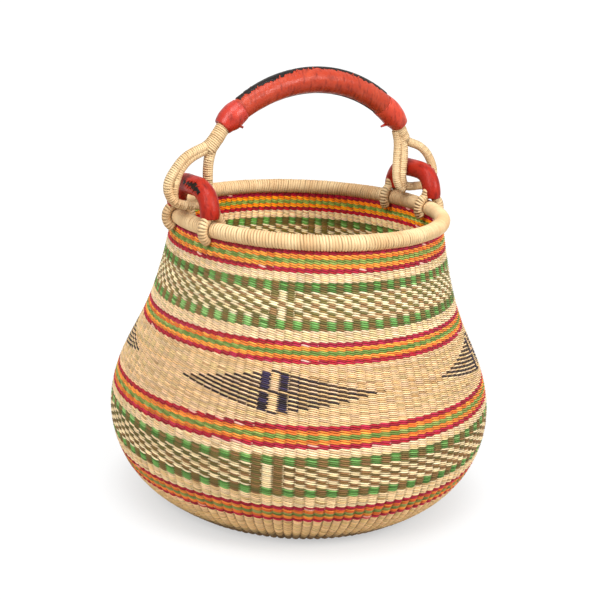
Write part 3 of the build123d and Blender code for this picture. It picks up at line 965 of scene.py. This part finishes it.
whip_tree, given = new_tree("whip_stitches", (
    ("Stitch length", "Float", 0.004),
    ("Thong half width", "Float", 0.0006),
    ("Thong material", "Material", None),
))
tree = whip_tree
reach = put(tree, "GeometryNodeSplineParameter").outputs["Factor"]
reach = sum_up(tree, "SUBTRACT", reach, 0.5)
arch = sum_up(tree, "COSINE", times(tree, reach, math.pi))
sunk = 0.45
rise = times(tree, sum_up(tree, "SUBTRACT", arch, sunk), given["Thong half width"])
run = times(tree, reach, given["Stitch length"])
thong = swept(tree, bent_line(tree, 6, xyz(tree, run, z=rise)),
              circle(tree, 6, given["Thong half width"]))
turn = facing(tree, named(tree, "outward"), named(tree, "along"))
end_tree(tree, laid(tree, given["Geometry"], thong, turn), given["Thong material"])


def whip_stitches(name, material, marks, length, half_width):
    places, outs, lies = (np.array(part) for part in zip(*marks))
    piece = marked_points(name, places, (
        ("outward", "FLOAT_VECTOR", outs), ("along", "FLOAT_VECTOR", lies),
    ))
    return work_out(piece, whip_tree, {
        "Stitch length": length, "Thong half width": half_width, "Thong material": material,
    })


# Leather: pebbled grain, worn paler ridges and darker hollows
leather_group, given = new_group("leather_grain", (
    ("Colour", "Color"), ("Worn", "Color"), ("Deep", "Color"), ("Pebble scale", "Float"),
), (
    ("Colour", "Color"), ("Relief", "Float"), ("Polish", "Float"),
))
tree = leather_group
spot = place_on_piece(tree)
pebble = put(tree, "ShaderNodeTexVoronoi", {
    "Vector": spot, "Scale": given["Pebble scale"],
}, feature="SMOOTH_F1").outputs["Distance"]
crease = noise(tree, vector_sum(tree, "MULTIPLY", spot, (1.0, 0.3, 0.3)), 300.0, 4.0, 0.6)
worn = ranged(tree, noise(tree, spot, 55.0, 4.0), 0.48, 0.72, 0.0, 0.75)
deep = ranged(tree, crease, 0.50, 0.30, 0.0, 0.8)
toned = mixed(tree, worn, given["Colour"], given["Worn"])
put(tree, "NodeGroupOutput", {
    0: mixed(tree, deep, toned, given["Deep"]),
    1: sum_up(tree, "MULTIPLY_ADD", pebble, 0.35, crease),
    2: ranged(tree, crease, 0.35, 0.65, 0.48, 0.28),
})


def leather_material(name, colour, worn, deep, pebble_scale, depth, gloss):
    material, tree = new_material(name)
    hide = put(tree, "ShaderNodeGroup", node_tree=leather_group)
    feed(tree, hide, {
        "Colour": (*dye(*colour), 1), "Worn": (*dye(*worn), 1), "Deep": (*dye(*deep), 1),
        "Pebble scale": pebble_scale,
    })
    shown, relief, polish = hide.outputs
    finish(tree, shown, polish, relief, 0.8, depth, gloss)
    return material


ear_leather = leather_material(
    "ear_leather", (160, 36, 22), (178, 54, 34), (96, 16, 12),
    pebble_scale=500.0, depth=0.0006, gloss=0.15,
)
thong_leather = leather_material(
    "thong_leather", (20, 13, 11), (44, 26, 20), (8, 5, 4),
    pebble_scale=700.0, depth=0.0003, gloss=0.15,
)
ear_bend = 0.0215
for side, way in (("left", -1), ("right", 1)):
    low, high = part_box("ear_sleeve_" + side)
    thick = (high.x - low.x) / 2
    reach = (high.x + low.x) / 2
    span = (high.y - low.y) / 2 - thick
    crown = high.z - thick
    path = bent_path([
        (reach, -span, low.z), (reach, -span, crown), (reach, span, crown), (reach, span, low.z),
    ], ear_bend, step=0.0012)
    count = len(path)
    ends = np.minimum(np.arange(count), np.arange(count)[::-1])
    radii = (thick - 0.0004) * np.where(ends < 3, 0.93 + 0.025 * ends, 1.0)
    outer = np.array((way, 0.0, 0.0))
    sleeve = leather_tube("ear_leather_" + side, ear_leather, path, radii, outer,
                          sides=28, dents=0.012, seed=5 + way)
    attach(sleeve, "basket")
    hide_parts("ear_sleeve_" + side)
    halves = 0.26 + 0.10 * np.sin(np.linspace(0, 23, count))
    halves = halves + 0.06 * np.sin(np.linspace(0, 61, count))
    seam = slice(int(count * 0.24), int(count * 0.54))
    edges = (path[seam], radii[seam], outer, -way * 0.35, halves[seam])
    strip = leather_strip("ear_strip_" + side, thong_leather, *edges, thick=0.0007)
    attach(strip, "basket")
    marks = whip_marks(*edges, pitch=0.0046, slant=0.5)
    sewing = whip_stitches("ear_sewing_" + side, ear_leather, marks,
                           length=0.0042, half_width=0.0006)
    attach(sewing, "basket")


# ---------------------------------------------------------------- ear feet
# Two straw-bound strands come out of each leather foot and clasp the rim, one outside
# and one inside.
strand_radius = 0.0045
strand_inset = 0.0003
strand_start_out, strand_start_up = 0.0035, 0.0165
strand_orbit = rim_radius + strand_radius
foot_span = 0.031
foot_turn = math.asin(foot_span / rim_ring)
foot_angles = (foot_turn, -foot_turn, math.pi - foot_turn, math.pi + foot_turn)


def foot_paths(starts, side, sweep_angle):
    paths = []
    for foot in foot_angles:
        out = Vector((math.cos(foot), math.sin(foot), 0))
        centre = out * rim_ring + Vector((0, 0, rim_height))
        points = [centre + out * side * strand_start_out + Vector((0, 0, strand_start_up))]
        for n in range(25):
            turn = starts - sweep_angle * n / 24
            points.append(centre + out * side * strand_orbit * math.cos(turn)
                          + Vector((0, 0, strand_orbit * math.sin(turn))))
        paths.append((points, [1.0] * len(points)))
    return paths


for node, start, side, reach in (
    ("foot_strands_outer", 56, 1, 112), ("foot_strands_inner", 64, -1, 104),
):
    paths = foot_paths(math.radians(start), side, math.radians(reach))
    piece = wound_piece(node.replace("strands", "bindings"), paths, strand_radius - strand_inset,
                        pitch=0.0024, thick=0.00030, sides=14, broad=0.0, cover=0.85)
    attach(piece, "basket")
    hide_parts(node)


# ---------------------------------------------------------------- rings
# The handle ends in two straw-bound rings, each threaded through an ear. One side of
# each ring is doubled: the outer side on the left, the inner leg on the right.
# Paths are in millimetres, outwards and up.
ring_paths = {
    "left": [(108.0, 366.0), (115.5, 358.0), (124.5, 354.0), (138.0, 347.5), (149.5, 335.5),
             (155.6, 322.0), (152.6, 312.0), (146.0, 306.0), (137.0, 303.6), (126.0, 303.0),
             (118.5, 304.5), (114.9, 311.0), (114.3, 328.0), (113.5, 345.0), (109.8, 358.0)],
    "right": [(108.0, 361.0), (114.5, 353.0), (121.5, 348.8), (131.0, 345.6), (142.5, 338.6),
              (151.5, 327.0), (155.6, 315.5), (154.0, 307.0), (147.0, 303.3), (138.0, 303.0),
              (125.0, 303.0), (118.5, 305.0), (115.2, 311.0), (114.4, 328.0), (113.0, 345.0),
              (109.0, 356.0)],
}
doubler_paths = {
    "left": [(108.0, 361.0), (115.0, 354.2), (120.5, 351.6), (131.0, 347.0), (141.4, 338.0),
             (147.8, 325.0), (149.2, 315.0), (148.6, 310.0)],
    "right": [(102.5, 360.0), (105.4, 350.0), (106.0, 340.0), (106.2, 322.0), (108.4, 309.0),
              (113.0, 302.5), (116.5, 300.6)],
}
ring_radius = 0.0045
doubler_radius = 0.0040


def side_path(route, way, count):
    return smooth_line(np.array([(way * x / 1000, 0.0, z / 1000) for x, z in route]), count)


ring_girth = 1 + 0.16 * np.clip((np.arange(110) - 78) / 30, 0, 1)
for name, node, routes, girth, radius, cover, seeds in (
    ("ring_binding_", "ring_", ring_paths, ring_girth, ring_radius, 0.85, (7, 9)),
    ("ring_doubling_", "doubler_", doubler_paths, np.ones(50), doubler_radius, 0.80, (21, 21)),
):
    for side, way, seed in (("left", -1, seeds[0]), ("right", 1, seeds[1])):
        path = side_path(routes[side], way, len(girth))
        piece = wound_piece(name + side, [(path, girth)], radius - strand_inset, pitch=0.0020,
                            thick=0.00022, broad=0.0, cover=cover, seed=seed)
        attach(piece, "handle")
        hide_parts(node + side)


# ---------------------------------------------------------------- necks
# Between the grip and each ring the whole bundle is bound round, and swells a little
# where it forks.
neck_radius = 0.0061
for side, way in (("left", -1), ("right", 1)):
    start = Vector((way * 0.0965, 0, 0.3775))
    fork = Vector((way * 0.1140, 0, 0.3525))
    line = (fork - start) / 19
    path = [start + line * n for n in range(20)]
    girth = [1.0 + 0.10 * math.sin(math.pi * min(1.0, n / 17)) for n in range(20)]
    girth[-1] -= 0.10
    piece = wound_piece("neck_binding_" + side, [(path, girth)], neck_radius, pitch=0.0020,
                        thick=0.00025, sides=16, broad=0.0, cover=0.7, seed=31 + way)
    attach(piece, "handle")
    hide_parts("neck_" + side)


# ---------------------------------------------------------------- grip
# A padded straw core in a red leather sleeve, with a black leather strip sewn along
# the top. A leather cuff closes each end over the straw neck.
grip_middle = Vector((0, 0, 0.2684))
grip_bend = 0.1454
grip_half = math.radians(34)
grip_radius = 0.012


def grip_point(lean, reach=0.0):
    return np.array([(grip_bend + reach) * math.sin(lean), 0,
                     grip_middle.z + (grip_bend + reach) * math.cos(lean)])


grip_leather = leather_material(
    "grip_leather", (169, 54, 29), (185, 72, 44), (104, 24, 14),
    pebble_scale=450.0, depth=0.0007, gloss=0.25,
)
grip_top = np.array((0.0, 0.0, 1.0))
leans = np.linspace(-grip_half - 0.01, grip_half + 0.01, 150)
path = np.array([grip_point(lean) for lean in leans])
share = leans / grip_half
radii = grip_radius * (0.985 - np.where(share < 0, 0.13, 0.07) * abs(share) ** 2.2)
sleeve = leather_tube("grip_leather_sleeve", grip_leather, path, radii, grip_top,
                      sides=36, dents=0.008, seed=9)
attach(sleeve, "handle")
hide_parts("grip_sleeve")

# The strip is cut unevenly, wider at the right end, and nicked where it is sewn
rng = np.random.default_rng(6)
inner = abs(leans) < math.radians(33.6)
ragged = np.convolve(rng.random(170) - 0.5, np.ones(4) / 4, "valid")[:150]
halves = 0.46 - 0.16 * np.cos(5.2 * share) + 0.60 * ragged
halves = halves - 0.08 * (share < 0) + 0.08 * np.clip(2 * share - 0.6, 0, 1)
halves = halves - 0.10 * (np.sin(leans * grip_bend / 0.0052 * 2 * math.pi) > 0.55)
edges = (path[inner], radii[inner], grip_top, 0.0, halves[inner])
strip = leather_strip("grip_strip_leather", thong_leather, *edges, thick=0.0009)
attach(strip, "handle")
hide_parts("grip_strip")
marks = whip_marks(*edges, pitch=0.0060, slant=0.7, kept=0.6)
sewing = whip_stitches("grip_top_sewing", grip_leather, marks, length=0.0046, half_width=0.0006)
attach(sewing, "handle")
seam = leather_strip("grip_under_seam", thong_leather, path[inner], radii[inner], grip_top,
                     math.pi, 0.13 + 0.08 * ragged[inner], thick=0.0004)
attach(seam, "handle")

# Each cuff: its ends as leans in degrees, its radius, its swell, its leather
cuffs = (
    ("left", -1, 34.2, 43.6, 0.0108, 0.0012, leather_material(
        "cuff_leather_left", (178, 42, 24), (198, 66, 46), (112, 22, 14),
        pebble_scale=450.0, depth=0.0006, gloss=0.4,
    )),
    # The right cuff's leather is a lighter copy of the grip's: painted light on the brighter
    # right end
    ("right", 1, 34.4, 47.0, 0.0113, 0.0007, leather_material(
        "cuff_leather_right", (194, 60, 37), (206, 80, 54), (112, 26, 16),
        pebble_scale=450.0, depth=0.0006, gloss=0.3,
    )),
)
for side, way, first, last, radius, swell, leather in cuffs:
    along = np.linspace(0, 1, 34)
    leans = np.radians(first + (last - first) * np.append(along, [1.008, 1.014, 1.018, 1.020]))
    path = np.array([grip_point(way * lean) for lean in leans])
    radii = radius + swell * np.sin(np.pi * np.minimum(along * 1.2, 1.0))
    radii = radii - 0.0022 * np.clip((along - 0.55) / 0.45, 0, 1) ** 2
    radii = np.append(radii, [0.0084, 0.0078, 0.0068, 0.0055])
    cuff = leather_tube("cuff_leather_" + side, leather, path, radii, np.array((0.0, 1.0, 0.0)),
                        sides=32, dents=0.014, seed=14 + way)
    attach(cuff, "handle")
    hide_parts("cuff_" + side)

# The end of the thong that draws each cuff shut: where it starts, its length and lie
tails = []
for way, lean, reach, length, lie in (
    (-1, 38.0, -0.0100, 0.0055, (0.8, -0.3, -0.55)),
    (1, 42.0, -0.0108, 0.0085, (-0.95, -0.2, -0.22)),
):
    start = grip_point(way * math.radians(lean), reach)
    tangent = unit(np.array(lie))
    flat = unit(np.cross(tangent, (0, 1, 0)))
    thin = np.cross(tangent, flat)
    tail = []
    for k in range(8):
        wide = 0.0019 - 0.0009 * k / 7 + 0.0002 * math.sin(k * 2.1)
        point = start + tangent * length * k / 7
        tail.append([point + flat * wide * math.cos(turn) + thin * 0.0009 * math.sin(turn)
                     for turn in np.arange(8) * math.pi / 4])
    tails.append(np.array(tail))
knots = outward_faces(tubes("cuff_thong_ends", tails, cuffs[0][-1]))
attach(knots, "handle")
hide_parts("cuff_knots")
